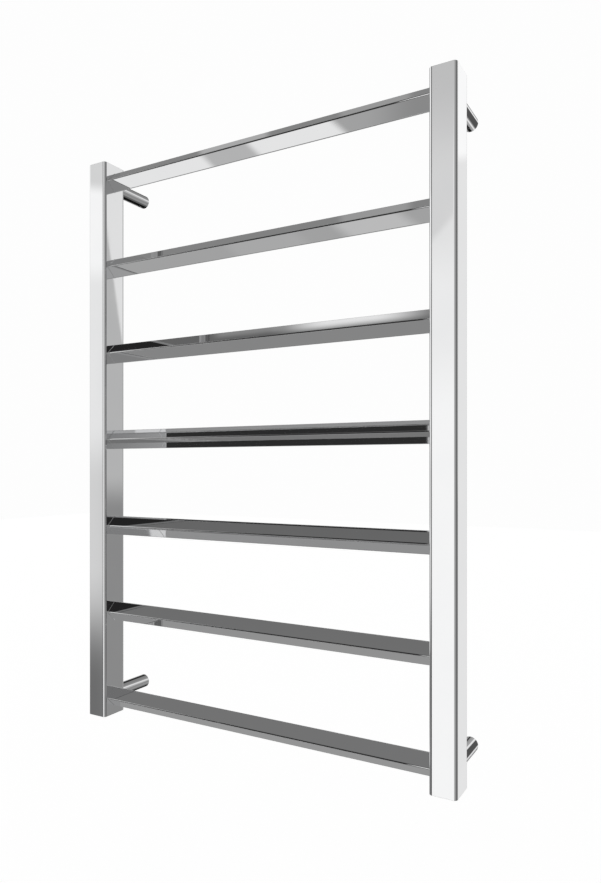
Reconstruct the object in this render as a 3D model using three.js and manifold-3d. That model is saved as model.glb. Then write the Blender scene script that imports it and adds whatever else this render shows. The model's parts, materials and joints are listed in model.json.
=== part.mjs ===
// Wall-hung ladder towel warmer: two rectangular uprights, level square bars set on edge,
// round stand-offs to the wall, and a dry heating cable that runs through every bar.
//
// Frame, in millimetres: X across the rail, +X to the right of someone facing it; +Y into the
// wall; +Z up. The origin is on the wall's surface, midway between the four wall fixings.

import * as THREE from "three";
import { mergeVertices } from "three/addons/utils/BufferGeometryUtils.js";
import Module from "manifold-3d";

const wasm = await Module();
wasm.setup();

// ---------------------------------------------------------------- driving dimensions

// Overall frame
const overallWidth = 550;
const overallHeight = 800;
const wallClearance = 62; // wall surface to the back of the uprights

// Uprights: rectangular tube, narrow side to the front
const uprightWidth = 32;
const uprightDepth = 40;
const uprightWall = 2;
const uprightCorner = 4;
const endPlateThickness = 2;

// Bars: square tube set on edge
const barCount = 7;
const barSide = 20;
const barWall = 1.2;
const barCorner = 1.5;
const endBarInset = 25.5; // centre of the first and last bar from the ends of the uprights

// Stand-offs: a polished barrel screwed on a spigot, over a boss on the wall
const standoffInset = 24.5; // centre of each stand-off from the end of its upright
const standoffFromSide = 15; // centre of each stand-off from the outer face of its upright
const barrelDiameter = 19;
const barrelChamfer = 0.4;
const barrelPassage = 9.2; // bore between the two ends
const socketWall = 2; // barrel wall round the wall boss
const socketDepth = 24;
const collarWall = 1.9; // barrel wall round the spigot's collar
const spigotCollarHeight = 3;
const spigotStem = 12;
const spigotStemLength = 12;
const spigotNeck = 11;
const spigotNeckBehindWall = 2.5; // how far the neck stands inside the upright
const spigotBore = 8;
const bossLength = 22;
const bossGrooveDepth = 1.3; // the grub screw's tip stands in this groove
const bossGrooveWidth = 5;
const wallScrewHole = 4.5;
const wallScrewHead = 7.6;
const wallScrewHeadDepth = 6;
const grubDiameter = 4;
const grubSunk = 0.3; // end of the grub screw below the barrel's surface
const grubFromWall = 11.5;
const grubSocket = 2; // across the flats
const grubSocketDepth = 1.4;

// Supply entry, through the lower right stand-off
const supplyCable = 5.5; // largest cable that the entry takes
const grommetFlange = 10.4;
const grommetFlangeThickness = 1.2;
const grommetLength = 8;
const cableBossRim = 0.8; // metal left below the screw's head in the slotted boss
const cableSlotWeb = 0.5; // metal left between the screw's head and the cable slot

// Heating cable and its terminations
const heatingCable = 4;
const heatingCableSides = 8;
const cableHole = 12; // hole in the upright at the end of each bar
const cableBend = 10; // bend radius of the cable's centre line
const cableRampLength = 40; // length over which the cable drops to the bottom of a bar
const endSealWall = 1;
const endSealLength = 24;
const endSealOverlap = 16; // length of cable inside the seal
const jointDiameter = 12;
const jointWall = 0.8;
const jointLength = 50;
const jointRise = 23; // open lower end of the joint above the lowest bar
const jointCableOffset = 2.5;
const jointCableDepth = 14;
const crimpDiameter = 2.8;
const crimpLength = 8;
const cutOutDiameter = 4.8;
const cutOutLength = 14;

// Earth connection inside the right upright
const earthStudDiameter = 4;
const earthStudLength = 10;
const earthStudBase = 7;
const earthStudBaseThickness = 1;
const earthRingDiameter = 8.4;
const earthRingThickness = 0.8;
const earthNutFlats = 7;
const earthNutThickness = 3.2;
const earthRise = 17; // stud above the lower end of the upright
const earthFromFront = 12; // stud behind the front face

// Clearances
const fitGap = 0.3; // between pieces that seat on, slide over or pass through each other
const cableGap = 0.4; // round the cable where it crosses an edge
const leastCorner = 0.2; // inside corner of a tube whose wall is as thick as its outer corner

// Facets
const cornerSegments = 3;
const turnedSegments = 28;
const holeSegments = 16;
const bendSteps = 3;
const cutOverrun = 1; // how far a cutting shape reaches past the face it cuts

// ---------------------------------------------------------------- derived places

const frontY = -(wallClearance + uprightDepth);
const uprightBackY = -wallClearance;
const barY = frontY + uprightDepth / 2;
const uprightX = (overallWidth - uprightWidth) / 2;
const standoffX = overallWidth / 2 - standoffFromSide;
const innerFaceX = overallWidth / 2 - uprightWidth;
const barLength = 2 * (innerFaceX - fitGap);
const barPitch = (overallHeight - 2 * endBarInset) / (barCount - 1);
const standoffZ = overallHeight / 2 - standoffInset;
const barrelRadius = barrelDiameter / 2;
const socketRadius = barrelRadius - socketWall;
const bossRadius = socketRadius - fitGap;
const grooveRadius = bossRadius - bossGrooveDepth;
const grubTip = grooveRadius + fitGap;
const grubLength = barrelRadius - grubSunk - grubTip;
const collarRadius = barrelRadius - collarWall - fitGap;
const cableRadius = heatingCable / 2;

// Height of a bar's centre, counted from the top.
function barZ(index) {
  return overallHeight / 2 - endBarInset - index * barPitch;
}

// ---------------------------------------------------------------- materials

const polishedSteel = { color: 0xd9dadb, roughness: 0.06, metalness: 1 };
const plainSteel = { color: 0xb4b6b8, roughness: 0.35, metalness: 1 };
const blackenedSteel = { color: 0x4a4b4d, roughness: 0.4, metalness: 1 };
const brass = { color: 0xc8a55a, roughness: 0.3, metalness: 1 };
const tinnedCopper = { color: 0xc3bfb6, roughness: 0.35, metalness: 1 };
const blackRubber = { color: 0x1d1d1f, roughness: 0.8, metalness: 0 };
const redSilicone = { color: 0x9a3a2c, roughness: 0.6, metalness: 0 };
const heatShrink = { color: 0x26272a, roughness: 0.55, metalness: 0 };

// ---------------------------------------------------------------- helpers

const rail = new THREE.Group();

function addPiece(parent, name, geometry, finish) {
  const piece = new THREE.Mesh(geometry, new THREE.MeshStandardMaterial(finish));
  piece.name = name;
  parent.add(piece);
  return piece;
}

function toSolid(geometry) {
  const bare = geometry.clone();
  bare.deleteAttribute("normal");
  bare.deleteAttribute("uv");
  const merged = mergeVertices(bare, 1e-4);
  return new wasm.Manifold(
    new wasm.Mesh({
      numProp: 3,
      vertProperties: merged.attributes.position.array,
      triVerts: new Uint32Array(merged.index.array),
    }),
  );
}

function toGeometry(solid) {
  const { vertProperties, triVerts } = solid.getMesh();
  const geometry = new THREE.BufferGeometry();
  geometry.setAttribute("position", new THREE.BufferAttribute(new Float32Array(vertProperties), 3));
  geometry.setIndex(new THREE.BufferAttribute(new Uint32Array(triVerts), 1));
  geometry.computeVertexNormals();
  return geometry;
}

function cutAway(geometry, cutters) {
  let solid = toSolid(geometry);
  for (const cutter of cutters) {
    solid = solid.subtract(toSolid(cutter));
  }
  return toGeometry(solid);
}

function roundedRectangle(width, height, radius, Outline = THREE.Shape) {
  const x = width / 2 - radius;
  const y = height / 2 - radius;
  const quarter = Math.PI / 2;
  const outline = new Outline();
  outline.absarc(x, y, radius, 0, quarter);
  outline.absarc(-x, y, radius, quarter, 2 * quarter);
  outline.absarc(-x, -y, radius, 2 * quarter, 3 * quarter);
  outline.absarc(x, -y, radius, 3 * quarter, 4 * quarter);
  return outline;
}

// A regular outline with its corners on a circle.
function polygon(sides, radius) {
  const outline = new THREE.Shape();
  for (let corner = 0; corner < sides; corner += 1) {
    const angle = (2 * Math.PI * corner) / sides;
    const x = radius * Math.cos(angle);
    const y = radius * Math.sin(angle);
    if (corner === 0) {
      outline.moveTo(x, y);
    } else {
      outline.lineTo(x, y);
    }
  }
  outline.closePath();
  return outline;
}

function hexagon(acrossFlats) {
  return polygon(6, acrossFlats / 2 / Math.cos(Math.PI / 6));
}

// A closed prism along Z, centred on its middle.
function prism(outline, length, curveSegments = cornerSegments) {
  const geometry = new THREE.ExtrudeGeometry(outline, {
    depth: length,
    bevelEnabled: false,
    steps: 1,
    curveSegments,
  });
  return geometry.translate(0, 0, -length / 2);
}

// The rounding of a line that runs inside a round corner, an inset away from it.
function insetCorner(corner, inset) {
  return Math.max(corner - inset, leastCorner);
}

// A rectangular tube along Z, with open ends.
function rectangularTube(width, height, wall, corner, length) {
  const outline = roundedRectangle(width, height, corner);
  const boreCorner = insetCorner(corner, wall);
  const bore = roundedRectangle(width - 2 * wall, height - 2 * wall, boreCorner, THREE.Path);
  outline.holes.push(bore);
  return prism(outline, length);
}

// A body turned about Y from [radius, y] points, listed from low to high y up its outside.
function turned(points, segments = turnedSegments) {
  const profile = points.map(([radius, y]) => new THREE.Vector2(radius, y));
  profile.push(profile[0].clone());
  return new THREE.LatheGeometry(profile, segments);
}

// A round cutter along Y, from one y to another.
function roundCutter(diameter, fromY, toY) {
  const length = toY - fromY;
  const geometry = new THREE.CylinderGeometry(diameter / 2, diameter / 2, length, holeSegments);
  return geometry.translate(0, (fromY + toY) / 2, 0);
}

// A curve through fixed stations, so that a swept section has a ring at each of them.
class StationCurve extends THREE.Curve {
  constructor(stations) {
    super();
    this.stations = stations;
  }

  getPointAt(share) {
    const place = share * (this.stations.length - 1);
    const index = Math.min(Math.floor(place), this.stations.length - 2);
    return this.stations[index].clone().lerp(this.stations[index + 1], place - index);
  }

  getTangentAt(share) {
    const last = this.stations.length - 1;
    const index = Math.round(share * last);
    const before = this.stations[Math.max(index - 1, 0)];
    const after = this.stations[Math.min(index + 1, last)];
    return after.clone().sub(before).normalize();
  }
}

// ---------------------------------------------------------------- uprights

// side is +1 for the right upright and -1 for the left one.
function uprightGeometry(side) {
  const tube = rectangularTube(uprightWidth, uprightDepth, uprightWall, uprightCorner, overallHeight);
  const cutters = [];
  const reach = uprightWall + cutOverrun;
  for (let index = 0; index < barCount; index += 1) {
    const hole = roundCutter(cableHole, -cutOverrun, reach);
    hole.rotateZ(side * (-Math.PI / 2));
    hole.translate(-side * (uprightWidth / 2), 0, barZ(index));
    cutters.push(hole);
  }
  for (const end of [1, -1]) {
    const hole = roundCutter(spigotNeck + 2 * fitGap, -reach, cutOverrun);
    hole.translate(side * (standoffX - uprightX), uprightDepth / 2, end * standoffZ);
    cutters.push(hole);
  }
  return cutAway(tube, cutters);
}

function endPlateGeometry() {
  const inset = uprightWall + fitGap;
  const width = uprightWidth - 2 * inset;
  const depth = uprightDepth - 2 * inset;
  const outline = roundedRectangle(width, depth, insetCorner(uprightCorner, inset));
  return prism(outline, endPlateThickness);
}

const endPlateZ = (overallHeight - endPlateThickness) / 2;

for (const [sideName, side] of [["left", -1], ["right", 1]]) {
  const upright = new THREE.Group();
  upright.position.set(side * uprightX, frontY + uprightDepth / 2, 0);
  rail.add(upright);
  addPiece(upright, `${sideName}_upright`, uprightGeometry(side), polishedSteel);
  for (const [endName, end] of [["top", 1], ["bottom", -1]]) {
    const plate = addPiece(upright, `${endName}_${sideName}_end_plate`, endPlateGeometry(), polishedSteel);
    plate.position.z = end * endPlateZ;
  }
}

// ---------------------------------------------------------------- bars

for (let index = 0; index < barCount; index += 1) {
  const tube = rectangularTube(barSide, barSide, barWall, barCorner, barLength);
  const bar = addPiece(rail, `bar_${index + 1}`, tube, polishedSteel);
  bar.rotation.set(0, Math.PI / 2, Math.PI / 4);
  bar.position.set(0, barY, barZ(index));
}

// ---------------------------------------------------------------- stand-offs

// Everything below is turned about the stand-off's own axis, with y measured from the wall.

function barrelGeometry() {
  const front = uprightBackY + fitGap;
  const collarEnd = uprightBackY + fitGap + spigotCollarHeight + fitGap;
  const stemEnd = collarEnd + spigotStemLength + fitGap;
  const seatRadius = collarRadius + fitGap;
  const stemRadius = spigotStem / 2 + fitGap;
  const passageRadius = barrelPassage / 2;
  const body = turned([
    [barrelRadius - barrelChamfer, front],
    [barrelRadius, front + barrelChamfer],
    [barrelRadius, -barrelChamfer],
    [barrelRadius - barrelChamfer, 0],
    [socketRadius, 0],
    [socketRadius, -socketDepth],
    [passageRadius, -socketDepth],
    [passageRadius, stemEnd],
    [stemRadius, stemEnd],
    [stemRadius, collarEnd],
    [seatRadius, collarEnd],
    [seatRadius, front],
  ]);
  const grubHole = roundCutter(grubDiameter + 2 * fitGap, 0, barrelRadius + cutOverrun);
  grubHole.rotateX(-Math.PI / 2);
  grubHole.translate(0, -grubFromWall, 0);
  return cutAway(body, [grubHole]);
}

function spigotGeometry() {
  const seat = uprightBackY + fitGap;
  const neckEnd = uprightBackY - uprightWall - spigotNeckBehindWall;
  const stemEnd = seat + spigotCollarHeight + spigotStemLength;
  return turned([
    [spigotNeck / 2, neckEnd],
    [spigotNeck / 2, seat],
    [collarRadius, seat],
    [collarRadius, seat + spigotCollarHeight],
    [spigotStem / 2, seat + spigotCollarHeight],
    [spigotStem / 2, stemEnd],
    [spigotBore / 2, stemEnd],
    [spigotBore / 2, neckEnd],
  ]);
}

// The boss on the wall. The one at the supply entry has a slot for the cable above its screw.
function wallBossGeometry(takesCable) {
  const grooveFront = -grubFromWall - bossGrooveWidth / 2;
  const grooveBack = -grubFromWall + bossGrooveWidth / 2;
  const body = turned([
    [0, -bossLength],
    [bossRadius - barrelChamfer, -bossLength],
    [bossRadius, -bossLength + barrelChamfer],
    [bossRadius, grooveFront],
    [grooveRadius, grooveFront],
    [grooveRadius, grooveBack],
    [bossRadius, grooveBack],
    [bossRadius, 0],
    [0, 0],
  ]);
  const headSeat = -bossLength + wallScrewHeadDepth;
  const coneDepth = (wallScrewHead - wallScrewHole) / 2;
  const screwHole = turned([
    [0, -bossLength - cutOverrun],
    [wallScrewHead / 2, -bossLength - cutOverrun],
    [wallScrewHead / 2, headSeat - coneDepth],
    [wallScrewHole / 2, headSeat],
    [wallScrewHole / 2, cutOverrun],
    [0, cutOverrun],
  ], holeSegments);
  const cutters = [screwHole];
  if (takesCable) {
    const screwDrop = bossRadius - wallScrewHead / 2 - cableBossRim;
    const slotRise = wallScrewHead / 2 - screwDrop + cableSlotWeb + supplyCable / 2;
    screwHole.translate(0, 0, -screwDrop);
    const slotLength = bossLength + 2 * cutOverrun;
    const slotRound = roundCutter(supplyCable, -bossLength - cutOverrun, cutOverrun);
    slotRound.translate(0, 0, slotRise);
    const slotMouth = new THREE.BoxGeometry(supplyCable, slotLength, bossRadius);
    slotMouth.translate(0, -bossLength / 2, slotRise + bossRadius / 2);
    cutters.push(slotRound, slotMouth);
  }
  return cutAway(body, cutters);
}

// The grub screw stands on Z, its socket facing down.
function grubGeometry() {
  const outline = new THREE.Shape();
  outline.absarc(0, 0, grubDiameter / 2, 0, 2 * Math.PI);
  const body = prism(outline, grubLength, holeSegments / 2);
  const socket = prism(hexagon(grubSocket), 2 * grubSocketDepth);
  socket.translate(0, 0, -grubLength / 2);
  return cutAway(body, [socket]);
}

for (const [sideName, side] of [["left", -1], ["right", 1]]) {
  for (const [endName, end] of [["top", 1], ["bottom", -1]]) {
    const place = `${endName}_${sideName}`;
    const takesCable = place === "bottom_right";
    const standoff = new THREE.Group();
    standoff.position.set(side * standoffX, 0, end * standoffZ);
    rail.add(standoff);
    addPiece(standoff, `${place}_standoff_barrel`, barrelGeometry(), polishedSteel);
    addPiece(standoff, `${place}_spigot`, spigotGeometry(), plainSteel);
    addPiece(standoff, `${place}_wall_boss`, wallBossGeometry(takesCable), plainSteel);
    const grub = addPiece(standoff, `${place}_grub_screw`, grubGeometry(), blackenedSteel);
    grub.position.set(0, -grubFromWall, -grubTip - grubLength / 2);
  }
}

// ---------------------------------------------------------------- supply grommet

function grommetGeometry() {
  const flangeBack = uprightBackY - uprightWall - spigotNeckBehindWall - fitGap;
  const bodyRadius = spigotBore / 2 - fitGap;
  const boreRadius = supplyCable / 2;
  return turned([
    [grommetFlange / 2, flangeBack - grommetFlangeThickness],
    [grommetFlange / 2, flangeBack],
    [bodyRadius, flangeBack],
    [bodyRadius, flangeBack + grommetLength],
    [boreRadius, flangeBack + grommetLength],
    [boreRadius, flangeBack - grommetFlangeThickness],
  ], holeSegments);
}

const grommet = addPiece(rail, "supply_grommet", grommetGeometry(), blackRubber);
grommet.position.set(standoffX, 0, -standoffZ);

// ---------------------------------------------------------------- heating cable

// In a bar the cable lies in the lower corner of the bore; at the ends it lifts over the hole's rim.
const barBoreCorner = (barSide - 2 * barWall) / Math.SQRT2;
const lowCableDrop = barBoreCorner - (cableRadius + fitGap) * Math.SQRT2;
const holeCableDrop = cableHole / 2 - cableRadius - cableGap;
const bendStartX = uprightX - cableBend;

// Stations from one upright to the other through a bar, starting on the given side.
function barRun(index, side) {
  const low = barZ(index) - lowCableDrop;
  const high = barZ(index) - holeCableDrop;
  const rampStart = innerFaceX - cableBend;
  const rampSteps = 4;
  const ramp = [new THREE.Vector3(bendStartX, barY, high)];
  for (let step = 0; step <= rampSteps; step += 1) {
    const share = step / rampSteps;
    const x = rampStart - share * cableRampLength;
    const z = THREE.MathUtils.lerp(high, low, THREE.MathUtils.smoothstep(share, 0, 1));
    ramp.push(new THREE.Vector3(x, barY, z));
  }
  const mirrored = ramp.map((point) => new THREE.Vector3(-point.x, point.y, point.z)).reverse();
  const stations = [...ramp, ...mirrored];
  return side > 0 ? stations : stations.reverse();
}

// Stations inside an upright, from one bar's end up to the next bar's.
function uprightLink(index, side) {
  const from = barZ(index) - holeCableDrop;
  const to = barZ(index - 1) - holeCableDrop;
  const stations = [];
  for (let step = 1; step <= bendSteps; step += 1) {
    const angle = (Math.PI / 2) * (step / bendSteps);
    const x = side * (bendStartX + cableBend * Math.sin(angle));
    stations.push(new THREE.Vector3(x, barY, from + cableBend * (1 - Math.cos(angle))));
  }
  for (let step = 0; step < bendSteps; step += 1) {
    const angle = (Math.PI / 2) * (step / bendSteps);
    const x = side * (bendStartX + cableBend * Math.cos(angle));
    stations.push(new THREE.Vector3(x, barY, to - cableBend * (1 - Math.sin(angle))));
  }
  return stations;
}

const lowestBar = barCount - 1;
const jointX = uprightX;
const jointY = uprightBackY - uprightWall - jointDiameter;
const jointMouthZ = barZ(lowestBar) + jointRise;
const jointCableX = jointX - jointCableOffset;

// The cable's start: down out of the joint and round into the lowest bar.
function startRun() {
  const inJoint = new THREE.Vector3(jointCableX, jointY, jointMouthZ + jointCableDepth);
  const mouth = new THREE.Vector3(jointCableX, jointY, jointMouthZ);
  const barEnd = new THREE.Vector3(bendStartX, barY, barZ(lowestBar) - holeCableDrop);
  const curve = new THREE.CubicBezierCurve3(
    mouth,
    mouth.clone().add(new THREE.Vector3(0, 0, -1.6 * cableBend)),
    barEnd.clone().add(new THREE.Vector3(0.9 * cableBend, 0, 0)),
    barEnd,
  );
  return [inJoint, ...curve.getPoints(2 * bendSteps).slice(0, -1)];
}

function cableStations() {
  const stations = startRun();
  let side = 1;
  for (let index = lowestBar; index >= 0; index -= 1) {
    stations.push(...barRun(index, side));
    side = -side;
    if (index > 0) {
      stations.push(...uprightLink(index, side));
    }
  }
  return stations;
}

// The last bend turns the cable down inside the upright, where its end is sealed.
const endSide = barCount % 2 === 1 ? -1 : 1;
const cableEndZ = barZ(0) - holeCableDrop - cableBend - endSealOverlap;

function endRun() {
  const high = barZ(0) - holeCableDrop;
  const stations = [];
  for (let step = 1; step <= bendSteps; step += 1) {
    const angle = (Math.PI / 2) * (step / bendSteps);
    const x = endSide * (bendStartX + cableBend * Math.sin(angle));
    stations.push(new THREE.Vector3(x, barY, high - cableBend * (1 - Math.cos(angle))));
  }
  stations.push(new THREE.Vector3(endSide * uprightX, barY, cableEndZ));
  return stations;
}

function heatingCableGeometry() {
  const route = new StationCurve([...cableStations(), ...endRun()]);
  return new THREE.ExtrudeGeometry(polygon(heatingCableSides, cableRadius), {
    steps: route.stations.length - 1,
    extrudePath: route,
    bevelEnabled: false,
  });
}

addPiece(rail, "heating_cable", heatingCableGeometry(), redSilicone);

// A cap over the cable's far end: a cup with its mouth up.
function endSealGeometry() {
  const boreRadius = cableRadius + fitGap;
  const outerRadius = boreRadius + endSealWall;
  const boreDepth = endSealOverlap + fitGap;
  return turned([
    [0, 0],
    [outerRadius - endSealWall / 2, 0],
    [outerRadius, endSealWall / 2],
    [outerRadius, endSealLength],
    [boreRadius, endSealLength],
    [boreRadius, endSealLength - boreDepth],
    [0, endSealLength - boreDepth],
  ], holeSegments);
}

const endSeal = addPiece(rail, "cable_end_seal", endSealGeometry(), redSilicone);
endSeal.rotation.x = Math.PI / 2;
endSeal.position.set(endSide * uprightX, barY, cableEndZ + endSealOverlap - endSealLength);

// ---------------------------------------------------------------- cable joint

// The supply and the heating cable meet in a sleeve that is closed at its top.
const joint = new THREE.Group();
joint.position.set(jointX, jointY, jointMouthZ);
joint.rotation.x = Math.PI / 2;
rail.add(joint);

function jointSleeveGeometry() {
  const outer = jointDiameter / 2;
  const inner = outer - jointWall;
  return turned([
    [inner, 0],
    [outer, 0],
    [outer, jointLength - jointWall],
    [outer - jointWall, jointLength],
    [0, jointLength],
    [0, jointLength - jointWall],
    [inner, jointLength - jointWall],
  ], holeSegments);
}

function crimpGeometry() {
  const radius = crimpDiameter / 2;
  const waist = radius * 0.8;
  return turned([
    [0, 0],
    [radius, 0],
    [radius, crimpLength * 0.3],
    [waist, crimpLength * 0.4],
    [waist, crimpLength * 0.6],
    [radius, crimpLength * 0.7],
    [radius, crimpLength],
    [0, crimpLength],
  ], 16);
}

function cutOutGeometry() {
  const radius = cutOutDiameter / 2;
  const nose = radius * 0.5;
  return turned([
    [0, 0],
    [nose, 0],
    [radius, cutOutLength * 0.15],
    [radius, cutOutLength * 0.85],
    [nose, cutOutLength],
    [0, cutOutLength],
  ], 20);
}

addPiece(joint, "cable_joint_sleeve", jointSleeveGeometry(), heatShrink);
for (const [name, offset] of [["live_crimp", -jointCableOffset], ["neutral_crimp", jointCableOffset]]) {
  const crimp = addPiece(joint, name, crimpGeometry(), tinnedCopper);
  crimp.position.set(offset, jointCableDepth + cableRadius, 0);
}
const cutOut = addPiece(joint, "thermal_cut_out", cutOutGeometry(), plainSteel);
cutOut.position.y = jointCableDepth + 2 * cableRadius + crimpLength + fitGap;

// ---------------------------------------------------------------- earth connection

// A stack along X on a stud welded inside the upright's outer side.
const earth = new THREE.Group();
const earthWallX = overallWidth / 2 - uprightWall;
earth.position.set(earthWallX - fitGap, frontY + earthFromFront, -overallHeight / 2 + earthRise);
earth.rotation.z = Math.PI / 2;
rail.add(earth);

const studHole = earthStudDiameter + 2 * fitGap;
const washerStart = earthStudBaseThickness + fitGap;
const lugStart = washerStart + earthRingThickness + fitGap;
const nutStart = lugStart + earthRingThickness + fitGap;

function ringGeometry(outerDiameter, thickness, fromY) {
  return turned([
    [outerDiameter / 2, fromY],
    [outerDiameter / 2, fromY + thickness],
    [studHole / 2, fromY + thickness],
    [studHole / 2, fromY],
  ], holeSegments);
}

function earthStudGeometry() {
  return turned([
    [0, 0],
    [earthStudBase / 2, 0],
    [earthStudBase / 2, earthStudBaseThickness],
    [earthStudDiameter / 2, earthStudBaseThickness],
    [earthStudDiameter / 2, earthStudLength],
    [0, earthStudLength],
  ], holeSegments);
}

// The lug's ring, its neck and the crimp barrel, in one plate with a raised end.
function earthLugGeometry() {
  const outline = new THREE.Shape();
  const neck = earthRingDiameter / 4;
  const reach = 1.8 * earthRingDiameter;
  const turn = Math.asin((2 * neck) / earthRingDiameter);
  outline.absarc(0, 0, earthRingDiameter / 2, turn, 2 * Math.PI - turn);
  outline.lineTo(reach, -neck);
  outline.lineTo(reach, neck);
  outline.closePath();
  const hole = new THREE.Path();
  hole.absarc(0, 0, studHole / 2, 0, 2 * Math.PI);
  outline.holes.push(hole);
  const plate = prism(outline, earthRingThickness, holeSegments / 2);
  const barrel = prism(roundedRectangle(reach / 2, 2 * neck, neck / 4), 3 * earthRingThickness);
  barrel.translate(0.75 * reach, 0, earthRingThickness);
  return toGeometry(toSolid(plate).add(toSolid(barrel)));
}

function earthNutGeometry() {
  const outline = hexagon(earthNutFlats);
  const hole = new THREE.Path();
  hole.absarc(0, 0, studHole / 2, 0, 2 * Math.PI);
  outline.holes.push(hole);
  return prism(outline, earthNutThickness, holeSegments / 2);
}

addPiece(earth, "earth_stud", earthStudGeometry(), plainSteel);
const washerGeometry = ringGeometry(earthRingDiameter, earthRingThickness, washerStart);
addPiece(earth, "earth_washer", washerGeometry, plainSteel);
const lug = addPiece(earth, "earth_lug", earthLugGeometry(), tinnedCopper);
lug.rotation.set(-Math.PI / 2, 0, -Math.PI / 2);
lug.position.y = lugStart + earthRingThickness / 2;
const nut = addPiece(earth, "earth_nut", earthNutGeometry(), brass);
nut.rotation.x = Math.PI / 2;
nut.position.y = nutStart + earthNutThickness / 2;

export default rail;
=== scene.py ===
"""A wall-hung ladder towel warmer in mirror-polished stainless steel.

Everything is in metres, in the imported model's frame: X across the rail, +Y into the wall, +Z up.
"""

import json
import math

import bmesh
import bpy
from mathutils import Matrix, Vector


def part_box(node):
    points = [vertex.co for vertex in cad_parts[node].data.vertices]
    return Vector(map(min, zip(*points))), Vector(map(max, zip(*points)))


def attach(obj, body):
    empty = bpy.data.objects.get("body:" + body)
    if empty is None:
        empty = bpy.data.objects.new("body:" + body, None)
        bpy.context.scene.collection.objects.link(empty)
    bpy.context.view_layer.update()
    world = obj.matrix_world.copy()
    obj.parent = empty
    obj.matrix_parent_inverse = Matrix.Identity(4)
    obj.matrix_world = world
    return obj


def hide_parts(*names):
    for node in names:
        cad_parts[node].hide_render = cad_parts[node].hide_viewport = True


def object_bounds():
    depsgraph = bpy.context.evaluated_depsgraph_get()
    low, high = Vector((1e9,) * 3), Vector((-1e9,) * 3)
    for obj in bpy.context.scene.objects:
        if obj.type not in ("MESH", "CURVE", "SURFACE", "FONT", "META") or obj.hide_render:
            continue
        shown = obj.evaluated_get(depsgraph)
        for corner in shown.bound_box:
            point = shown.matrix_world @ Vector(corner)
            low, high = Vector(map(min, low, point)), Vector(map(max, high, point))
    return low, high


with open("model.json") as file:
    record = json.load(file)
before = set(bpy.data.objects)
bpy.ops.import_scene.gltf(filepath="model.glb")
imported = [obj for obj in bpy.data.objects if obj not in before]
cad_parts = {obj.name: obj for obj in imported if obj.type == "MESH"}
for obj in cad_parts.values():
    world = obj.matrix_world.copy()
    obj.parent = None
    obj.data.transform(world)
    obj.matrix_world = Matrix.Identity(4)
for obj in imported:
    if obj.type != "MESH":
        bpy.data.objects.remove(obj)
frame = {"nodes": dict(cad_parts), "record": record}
cad_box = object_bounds()

MM = 0.001
X_AXIS = Vector((1, 0, 0))
Y_AXIS = Vector((0, 1, 0))
Z_AXIS = Vector((0, 0, 1))

SIDES = ("left", "right")
ENDS = ("top", "bottom")
BARS = sorted(name for name in frame["nodes"] if name.startswith("bar_"))

# ---------------------------------------------------------------- sizes that the boxes don't give

UPRIGHT_WALL = 2 * MM
UPRIGHT_CORNER = 4 * MM
UPRIGHT_BORE_CORNER = 2 * MM
CABLE_HOLE = 12 * MM
SPIGOT_HOLE = 11.6 * MM
HOLE_PATCH = 8 * MM  # half the height of wall that is meshed round a hole
LIP = 0.25 * MM  # rounding of a tube's cut ends and of its holes
PLATE_SEAM = 0.12 * MM  # hairline round the plate that closes an upright's end

BAR_WALL = 1.2 * MM
BAR_CORNER = 1.5 * MM
BAR_BORE_CORNER = 0.3 * MM
BAR_FILLET = 0.5 * MM  # polished weld between a bar and an upright
TOUCH = 0.02 * MM  # gap where one piece is welded or seated on another

BARREL_CHAMFER = 0.5 * MM
BARREL_SOCKET_WALL = 2 * MM
BARREL_SOCKET_DEPTH = 24 * MM
BARREL_PASSAGE = 9.2 * MM
COLLAR_WALL = 1.9 * MM
FIT_GAP = 0.3 * MM

SPIGOT_NECK = 11 * MM
SPIGOT_COLLAR_HEIGHT = 3 * MM
SPIGOT_STEM = 12 * MM
SPIGOT_STEM_LENGTH = 12 * MM
SPIGOT_BORE = 8 * MM
SPIGOT_PITCH = 1 * MM
SPIGOT_THREAD = 0.5 * MM

BOSS_GROOVE_DEPTH = 1.3 * MM
BOSS_GROOVE_WIDTH = 5 * MM
WALL_SCREW_HOLE = 4.5 * MM
WALL_SCREW_HEAD = 7.6 * MM
WALL_SCREW_HEAD_DEPTH = 6 * MM
SUPPLY_PLACE = "bottom_right"
SUPPLY_CABLE = 5.5 * MM
CABLE_BOSS_RIM = 0.8 * MM
CABLE_SLOT_WEB = 0.5 * MM

GRUB_FROM_WALL = 11.5 * MM
GRUB_DIAMETER = 4 * MM
GRUB_HOLE = 4.6 * MM
GRUB_SOCKET = 2 * MM
GRUB_SOCKET_DEPTH = 1.4 * MM
GRUB_PITCH = 0.7 * MM
GRUB_THREAD = 0.3 * MM
GRUB_PATCH = 3.4 * MM  # half the length of barrel that is meshed round the grub screw's hole

CORNER_STEPS = 10
LIP_STEPS = 3
FILLET_STEPS = 5
HOLE_STEPS = 32
TURNED_STEPS = 96
THREAD_STEPS = 8  # in one pitch
GRUB_BLOCK = 12  # facets of the barrel, each way, that are meshed round the grub screw's hole
SHARP_ANGLE = 30

# ---------------------------------------------------------------- mesh building


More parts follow.
